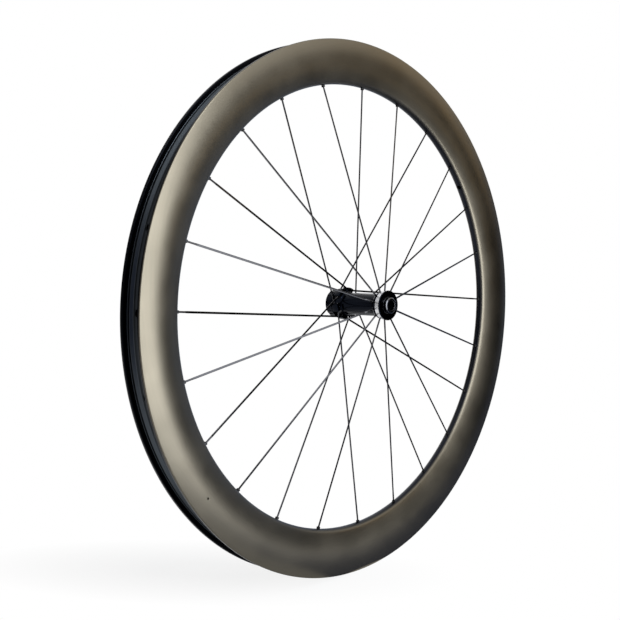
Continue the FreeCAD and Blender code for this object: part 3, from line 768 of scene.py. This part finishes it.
notch_inner = 14.4
notch_outer = 21.0
notch_start = 19.0
notch_end = 29.5
notch_pitches = 7
notch_lean = math.radians(spoke_pitch) + math.asin(tangent_radius / nose_radius)
notch_section = []
for out, side in ((notch_inner, -1), (notch_outer, -1), (notch_outer, 1), (notch_inner, 1)):
    half = out * math.tan(notch_lean) - head_setback / math.cos(notch_lean)
    notch_section.append((out, side * half))
notches = bar("notch_cutter", notch_section, notch_start, notch_end)
repeat_round_axle(notches, spoke_count // 4, first_spoke + notch_pitches * spoke_pitch)

spline_count = 18
first_spline = -90.0
spline_floor = 16.2
spline_floor_half = 1.2
spline_mouth = 18.2
spline_mouth_half = 1.7
spline_end = 44.0
spline_section = [
    (spline_floor, -spline_floor_half),
    (spline_mouth, -spline_mouth_half),
    (spline_mouth, spline_mouth_half),
    (spline_floor, spline_floor_half),
]
splines = bar("spline_cutter", spline_section, shoulder_end, spline_end)
repeat_round_axle(splines, spline_count, first_spline)

spoke_bore = 1.15
spoke_bore_lead = 1.0
spoke_bore_depth = 17.0
bores = []
for name in ("left_lead", "left_trail"):
    head, direction, first, copies_wanted = laced[name]
    start = head - direction.normalized() * spoke_bore_lead
    bore = peg(f"{name}_bore", spoke_bore, start, direction, spoke_bore_depth)
    bores.append(repeat_round_axle(bore, copies_wanted, first))
cut(shell, slots, notches, splines, *bores)

# Anodised aluminium, polished before it was dyed: a black mirror that shows fine rings left by the lathe.
tool_mark = 0.3


def black_anodised(name, dark, light):
    """Aluminium anodised gloss black between two tones, with fine tool marks round the axle."""
    material, tree, shader = new_material(name)
    coordinates = node(tree, "ShaderNodeTexCoord")
    across = node(tree, "ShaderNodeSeparateXYZ", {0: coordinates.outputs["Object"]})
    marks = node(
        tree,
        "ShaderNodeTexNoise",
        {"W": across.outputs["Y"], "Scale": 1 / (tool_mark * mm), "Detail": 1.0},
        noise_dimensions="1D",
    )
    mark_gloss = node(
        tree,
        "ShaderNodeMapRange",
        {"Value": marks.outputs["Fac"], "To Min": 0.12, "To Max": 0.2},
    )
    mark_tone = node(
        tree,
        "ShaderNodeMix",
        {"Factor": marks.outputs["Fac"], 6: linear(dark), 7: linear(light)},
        data_type="RGBA",
    )
    tree.links.new(mark_tone.outputs[2], shader.inputs["Base Color"])
    tree.links.new(mark_gloss.outputs[0], shader.inputs["Roughness"])
    shader.inputs["Metallic"].default_value = 1.0
    return material


gloss_black = black_anodised("gloss_black_anodised_aluminium", "#0b0e15", "#12151c")
fit(shell, gloss_black, "wheel", "hub_black", "hub_shell")

# Retaining ring. A turned and polished aluminium ring, pressed on the shell's right end.
# It closes the right flange's slots, so that the spokes' heads can't slide out.
ring_bore = 13.01
ring_radius = 16.8
ring_ease = 0.4
ring_outline = rounded(
    [
        (right_end, ring_bore),
        (flange_face, ring_bore),
        (flange_face, ring_radius, ring_ease),
        (right_end, ring_radius, ring_ease),
    ]
)
ring = turned("polished_ring", [ring_outline], hub_facets)

# Bare polished aluminium: a white metal whose lathe lines run round it and soften what it mirrors.
lathe_line_length = 40.0
lathe_line_width = 0.4
bright, tree, shader = new_material("polished_aluminium")
coordinates = node(tree, "ShaderNodeTexCoord")
round_ring = node(
    tree,
    "ShaderNodeMapping",
    {"Vector": coordinates.outputs["UV"], "Scale": (lathe_line_length, lathe_line_width, 1)},
    vector_type="TEXTURE",
)
lathe_lines = node(
    tree,
    "ShaderNodeTexNoise",
    {"Vector": round_ring.outputs[0], "Scale": 1.0, "Detail": 1.0},
)
lathe_gloss = node(
    tree,
    "ShaderNodeMapRange",
    {"Value": lathe_lines.outputs["Fac"], "To Min": 0.32, "To Max": 0.36},
)
tree.links.new(lathe_gloss.outputs[0], shader.inputs["Roughness"])
shader.inputs["Base Color"].default_value = linear("#dcdde0")
shader.inputs["Metallic"].default_value = 1.0
fit(ring, bright, "wheel", "bright_aluminium", "retaining_ring")

# Dust covers. Thin turned aluminium washers, anodised gloss black, that keep grit out of the bearings.
# The right one lies on the ring, and the left one sits inside the shell's mouth.
cover_bore = 10.2
cover_thickness = 1.2
cover_ease = 0.2
right_cover_radius = 17.8
right_cover_ease = 0.6
left_cover_radius = 12.0
right_cover_outline = rounded(
    [
        (right_end - cover_thickness, cover_bore, cover_ease),
        (right_end, cover_bore),
        (right_end, right_cover_radius),
        (right_end - cover_thickness, right_cover_radius, right_cover_ease),
    ]
)
right_cover = turned("right_cover_washer", [right_cover_outline], hub_facets)
fit(right_cover, gloss_black, "wheel", "cover_black", "right_dust_cover")
left_cover_outline = rounded(
    [
        (left_bearing_end - cover_thickness, cover_bore),
        (left_bearing_end, cover_bore, cover_ease),
        (left_bearing_end, left_cover_radius),
        (left_bearing_end - cover_thickness, left_cover_radius),
    ]
)
left_cover = turned("left_cover_washer", [left_cover_outline], hub_facets)
fit(left_cover, gloss_black, "wheel", "cover_black", "left_dust_cover")

# Axle tube and end caps. The tube is turned aluminium, anodised dark grey; the caps slip over its ends
# and are anodised black, with a chamfered nose that sits in the fork.
axle_bore = 6.05
tube_radius = 7.49
tube_half = 47.0
tube_outline = [
    (-tube_half, axle_bore),
    (tube_half, axle_bore),
    (tube_half, tube_radius),
    (-tube_half, tube_radius),
]
tube = turned("axle_tube_turned", [tube_outline], hub_facets)

# Grey anodised aluminium straight from the lathe: a dull metal with a fine uneven sheen.
turned_grey, tree, shader = new_material("turned_aluminium")
turning_mark = 0.4
coordinates = node(tree, "ShaderNodeTexCoord")
turning = node(
    tree,
    "ShaderNodeTexNoise",
    {"Vector": coordinates.outputs["UV"], "Scale": 1 / turning_mark, "Detail": 2.0},
)
turning_gloss = node(
    tree,
    "ShaderNodeMapRange",
    {"Value": turning.outputs["Fac"], "To Min": 0.25, "To Max": 0.42},
)
tree.links.new(turning_gloss.outputs[0], shader.inputs["Roughness"])
shader.inputs["Base Color"].default_value = linear("#33363c")
shader.inputs["Metallic"].default_value = 1.0
fit(tube, turned_grey, "axle", "axle_grey", "axle_tube")

cap_bore = 7.54
cap_end = 50.0
cap_radius = 9.6
cap_face_radius = 8.3
cap_chamfer = 0.8
cap_seat_radius = 8.8
cap_seat_length = 1.6
cap_mouth_ease = 0.3
cap_face_ease = 0.15
cap_edge_ease = 0.25
cap_back_ease = 0.3
o_ring_start = 45.0
o_ring_end = 46.2
o_ring_radius = 8.35
# The caps' black is drawn much lighter than the shell's, a grey from #4a4b4e to #545558, so that the lamp
# leaves a whiter painted glint on their chamfers.
cap_black = black_anodised("black_anodised_aluminium_with_painted_glint", "#4a4b4e", "#545558")
race_faces = (("right", -1, -right_end), ("left", 1, left_bearing_end - cover_thickness))
for side, sign, race_face in race_faces:
    cap_corners = [
        (race_face, cap_bore),
        (o_ring_start, cap_bore),
        (o_ring_start, o_ring_radius),
        (o_ring_end, o_ring_radius),
        (o_ring_end, cap_bore),
        (tube_half, cap_bore),
        (tube_half, axle_bore),
        (cap_end, axle_bore, cap_mouth_ease),
        (cap_end, cap_face_radius, cap_face_ease),
        (cap_end - cap_chamfer, cap_radius, cap_edge_ease),
        (race_face + cap_seat_length, cap_radius, cap_back_ease),
        (race_face + cap_seat_length, cap_seat_radius),
        (race_face, cap_seat_radius),
    ]
    if sign < 0:
        cap_corners = [(-place, *rest) for place, *rest in reversed(cap_corners)]
    cap = turned(f"{side}_cap_turned", [rounded(cap_corners)], hub_facets)
    fit(cap, cap_black, "axle", "cap_black", f"{side}_end_cap")

# Bearings and O-rings. The sealed bearings' own solids stay as they are: ground steel races and balls,
# nylon cages and rubber seals. The O-rings are of the same rubber.
grinding_mark = 0.3
flow_mark = 1.5
bloom_mark = 0.8

# Bearing steel, ground and lapped: a bright grey metal with an uneven fine sheen.
ground_steel, tree, shader = new_material("ground_bearing_steel")
coordinates = node(tree, "ShaderNodeTexCoord")
grinding = node(
    tree,
    "ShaderNodeTexNoise",
    {"Vector": coordinates.outputs["Object"], "Scale": 1 / (grinding_mark * mm), "Detail": 2.0},
)
grinding_gloss = node(
    tree,
    "ShaderNodeMapRange",
    {"Value": grinding.outputs["Fac"], "To Min": 0.15, "To Max": 0.3},
)
tree.links.new(grinding_gloss.outputs[0], shader.inputs["Roughness"])
shader.inputs["Base Color"].default_value = linear("#b4b6b9")
shader.inputs["Metallic"].default_value = 1.0

# Moulded nylon: honey brown, with faint clouds where it flowed in the mould.
nylon, tree, shader = new_material("moulded_nylon")
coordinates = node(tree, "ShaderNodeTexCoord")
flow = node(
    tree,
    "ShaderNodeTexNoise",
    {"Vector": coordinates.outputs["Object"], "Scale": 1 / (flow_mark * mm), "Detail": 2.0},
)
flow_tone = node(
    tree,
    "ShaderNodeMix",
    {"Factor": flow.outputs["Fac"], 6: linear("#7c5c34"), 7: linear("#93703f")},
    data_type="RGBA",
)
tree.links.new(flow_tone.outputs[2], shader.inputs["Base Color"])
shader.inputs["Roughness"].default_value = 0.5

# Nitrile rubber: matt black, with a slight grey bloom.
seal_rubber, tree, shader = new_material("nitrile_rubber")
coordinates = node(tree, "ShaderNodeTexCoord")
bloom = node(
    tree,
    "ShaderNodeTexNoise",
    {"Vector": coordinates.outputs["Object"], "Scale": 1 / (bloom_mark * mm), "Detail": 2.0},
)
bloom_tone = node(
    tree,
    "ShaderNodeMix",
    {"Factor": bloom.outputs["Fac"], 6: linear("#0e0e0e"), 7: linear("#1c1c1d")},
    data_type="RGBA",
)
tree.links.new(bloom_tone.outputs[2], shader.inputs["Base Color"])
shader.inputs["Roughness"].default_value = 0.7
finishes = {
    "inner_race": ground_steel,
    "outer_race": ground_steel,
    "balls": ground_steel,
    "cage": nylon,
    "inner_seal": seal_rubber,
    "outer_seal": seal_rubber,
}
bearing_nodes = {"end_cap_o_rings": seal_rubber}
for side in ("right", "left"):
    for name, finish in finishes.items():
        bearing_nodes[f"{side}_{name}"] = finish
for name, finish in bearing_nodes.items():
    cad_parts[name].data.materials.clear()
    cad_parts[name].data.materials.append(finish)

# Studio. A white card floor, a tall softbox that leans in front of the wheel, and cloths around both.
# The cloths show only in the wheel's shine: the camera doesn't see them, and they cast no shadow.
floor_height = -rim_radius
floor_side = 1500
floor_front = -450
floor_back = 1500


def laid_down(left, right, front, back, height):
    """The corners of a level sheet."""
    return [(left, front, height), (right, front, height), (right, back, height), (left, back, height)]


def seen_directly(tree):
    """Gives 1 where the camera, a reflection or glass looks, and 0 for the light that is cast."""
    rays = node(tree, "ShaderNodeLightPath").outputs
    camera_or_glossy = node(
        tree,
        "ShaderNodeMath",
        {0: rays["Is Camera Ray"], 1: rays["Is Glossy Ray"]},
        operation="MAXIMUM",
    )
    shown = node(
        tree,
        "ShaderNodeMath",
        {0: camera_or_glossy.outputs[0], 1: rays["Is Transmission Ray"]},
        operation="MAXIMUM",
    )
    return shown.outputs[0]


floor_corners = laid_down(-floor_side, floor_side, floor_front, floor_back, floor_height)
floor = new_piece("studio_floor", floor_corners, [(0, 1, 2, 3)])

# White card, lit to a plain white. In an oval beside the rim's foot a little of its own shading shows,
# and with it the wheel's shadow.
shadow_across = -130
shadow_back = 120
shadow_turn = 126
shadow_length = 300
shadow_width = 100
shadow_core = 0.2
shadow_whiteness = 0.82
white_floor, tree, shader = new_material("white_card")
shader.inputs["Base Color"].default_value = linear("#f2f2f2")
shader.inputs["Roughness"].default_value = 0.9
where = node(tree, "ShaderNodeTexCoord")
shadow_place = node(
    tree,
    "ShaderNodeMapping",
    {
        "Vector": where.outputs["Object"],
        "Location": (shadow_across * mm, shadow_back * mm, floor_height * mm),
        "Rotation": (0, 0, math.radians(shadow_turn)),
        "Scale": (shadow_length * mm, shadow_width * mm, 1),
    },
    vector_type="TEXTURE",
)
away = node(tree, "ShaderNodeVectorMath", {0: shadow_place.outputs[0]}, operation="LENGTH")
whiteness = node(
    tree,
    "ShaderNodeMapRange",
    {
        "Value": away.outputs["Value"],
        "From Min": shadow_core,
        "From Max": 1.0,
        "To Min": shadow_whiteness,
        "To Max": 1.0,
    },
)
lift = node(
    tree,
    "ShaderNodeMath",
    {0: seen_directly(tree), 1: whiteness.outputs[0]},
    operation="MULTIPLY",
)
glow = node(tree, "ShaderNodeEmission", {"Color": (1, 1, 1, 1), "Strength": 1.0})
both = node(
    tree,
    "ShaderNodeMixShader",
    {0: lift.outputs[0], 1: shader.outputs[0], 2: glow.outputs[0]},
)
tree.links.new(both.outputs[0], tree.nodes["Material Output"].inputs["Surface"])
floor.data.materials.append(white_floor)

# Dull black cloth under tinted light, which is drawn as a glow: the light's colour and strength, and then
# the specular level.
cloth_tone = "#0a0a0c"
cloth_glows = {
    "black": ((1.0, 1.0, 1.0), 0.0, 0.0),
    "slate": ((0.6, 0.72, 1.0), 0.45, 0.5),
    "sand": ((1.0, 0.76, 0.45), 1.5, 0.5),
    "white": ((1.0, 0.97, 0.92), 2.1, 0.5),
    "grey": ((0.94, 0.97, 1.0), 0.55, 0.5),
    "navy": ((0.4, 0.5, 0.85), 0.2, 0.5),
}
cloths = {}
for name, (tint, strength, specular_level) in cloth_glows.items():
    cloths[name], tree, shader = new_material(f"{name}_cloth")
    shader.inputs["Base Color"].default_value = linear(cloth_tone)
    shader.inputs["Roughness"].default_value = 1.0
    shader.inputs["Specular IOR Level"].default_value = specular_level
    shader.inputs["Emission Color"].default_value = (*tint, 1.0)
    shader.inputs["Emission Strength"].default_value = strength


def stood_up(start, end, foot, top):
    """The corners of an upright panel between two places on the floor plan."""
    return [(*start, foot), (*end, foot), (*end, top), (*start, top)]


studio_side = 1500
studio_front = -620
panel_foot = -900
cloth_lift = 2.5
cloth_height = floor_height + cloth_lift
cloth_split = -60
cloth_back = 20

# Each panel's cloth, and its corners in millimetres. Upright ones darken, warm or brighten one stretch of
# the rim each, and the level ones do so from below.
panels = {
    "right_panel": (
        "slate",
        stood_up((studio_side, studio_front), (studio_side, 1800), panel_foot, 440),
    ),
    "front_panel": (
        "black",
        [
            (340, studio_front, -120),
            (studio_side, studio_front, panel_foot),
            (studio_side, studio_front, 560),
            (340, studio_front, 560),
        ],
    ),
    "warm_panel": (
        "sand",
        [(860, -610, 220), (1060, -610, 220), (1060, -610, 900), (600, -610, 900)],
    ),
    "low_warm_panel": ("sand", stood_up((430, -608), (560, -608), 70, 200)),
    "top_panel": ("white", stood_up((120, -612), (500, -612), 480, 1000)),
    "left_panel": ("black", stood_up((-studio_side, 50), (-studio_side, 1000), panel_foot, 1500)),
    "left_back_panel": (
        "black",
        stood_up((-studio_side, 1550), (-studio_side, 2800), panel_foot, 700),
    ),
    "back_panel": ("black", stood_up((-1200, 2000), (300, 2000), panel_foot, 1500)),
    "camera_panel": ("navy", stood_up((-1374, -487), (-642, -1309), panel_foot, 600)),
    "front_cloth": ("navy", laid_down(cloth_split, studio_side, studio_front, cloth_back, cloth_height)),
    "left_cloth": ("grey", laid_down(-300, cloth_split, studio_front, cloth_back, cloth_height)),
    "side_cloth": ("grey", laid_down(150, studio_side, cloth_back, 1000, cloth_height)),
}
for name, (cloth, corners) in panels.items():
    panel = new_piece(name, corners, [(0, 1, 2, 3)])
    panel.data.materials.append(cloths[cloth])
    panel.visible_camera = False
    panel.visible_diffuse = False
    panel.visible_shadow = False

world = bpy.data.worlds.new("white_studio")
bpy.context.scene.world = world
world.use_nodes = True
tree = world.node_tree
fill_level = 0.2
level = node(
    tree,
    "ShaderNodeMapRange",
    {"Value": seen_directly(tree), "To Min": fill_level, "To Max": 1.0},
)
backdrop = tree.nodes["Background"]
backdrop.inputs["Color"].default_value = (1, 1, 1, 1)
tree.links.new(level.outputs[0], backdrop.inputs["Strength"])

# The softbox's place and size are in metres. At a brightness of 1 its face would look plain white.
lamp_place = (-0.02, -0.57, 0.06)
lamp_colour = (0.92, 0.96, 1.0)
lamp_width = 0.38
lamp_height = 1.5
lamp_brightness = 5.8
lamp_lean = 24.0
softbox = bpy.data.lights.new("front_softbox", "AREA")
softbox.shape = "RECTANGLE"
softbox.color = lamp_colour
softbox.size = lamp_width
softbox.size_y = lamp_height
softbox.energy = lamp_brightness * math.pi * lamp_width * lamp_height
lamp = bpy.data.objects.new("front_softbox", softbox)
lamp.location = lamp_place
lamp.rotation_mode = "QUATERNION"
upright = Vector((0, 1, 0)).to_track_quat("-Z", "Y")
lamp.rotation_quaternion = Quaternion((0, 1, 0), math.radians(-lamp_lean)) @ upright
lamp.visible_camera = False
bpy.context.scene.collection.objects.link(lamp)

# Camera. It stands in front of the wheel, to the left and a little above the hub, as in the photograph.
# Its place in metres, turn, focal length and centre are fitted to the wheel's outline there.
camera_place = (-0.7105, -0.6330, 0.0389)
azimuth = math.radians(-50.36)
elevation = math.radians(-1.24)
roll = math.radians(0.737)
photo_width = 620
focal_pixels = 773.7
centre_column = 388.5
centre_row = 256.0
camera_data = bpy.data.cameras.new("photo_camera")
camera_data.sensor_width = 36.0
camera_data.lens = camera_data.sensor_width * focal_pixels / photo_width
camera_data.shift_x = 0.5 - centre_column / photo_width
camera_data.shift_y = centre_row / photo_width - 0.5
camera_data.clip_start = 0.01
camera = bpy.data.objects.new("photo_camera", camera_data)
backward = Vector(
    (
        math.sin(azimuth) * math.cos(elevation),
        -math.cos(azimuth) * math.cos(elevation),
        math.sin(elevation),
    )
)
rightward = Vector((math.cos(azimuth), math.sin(azimuth), 0))
upward = backward.cross(rightward)
tilted_right = rightward * math.cos(roll) + upward * math.sin(roll)
tilted_up = upward * math.cos(roll) - rightward * math.sin(roll)
facing = Matrix((tilted_right, tilted_up, backward)).transposed()
camera.matrix_world = Matrix.Translation(camera_place) @ facing.to_4x4()
bpy.context.scene.collection.objects.link(camera)
bpy.context.scene.camera = camera

bpy.context.scene.view_settings.view_transform = "Standard"
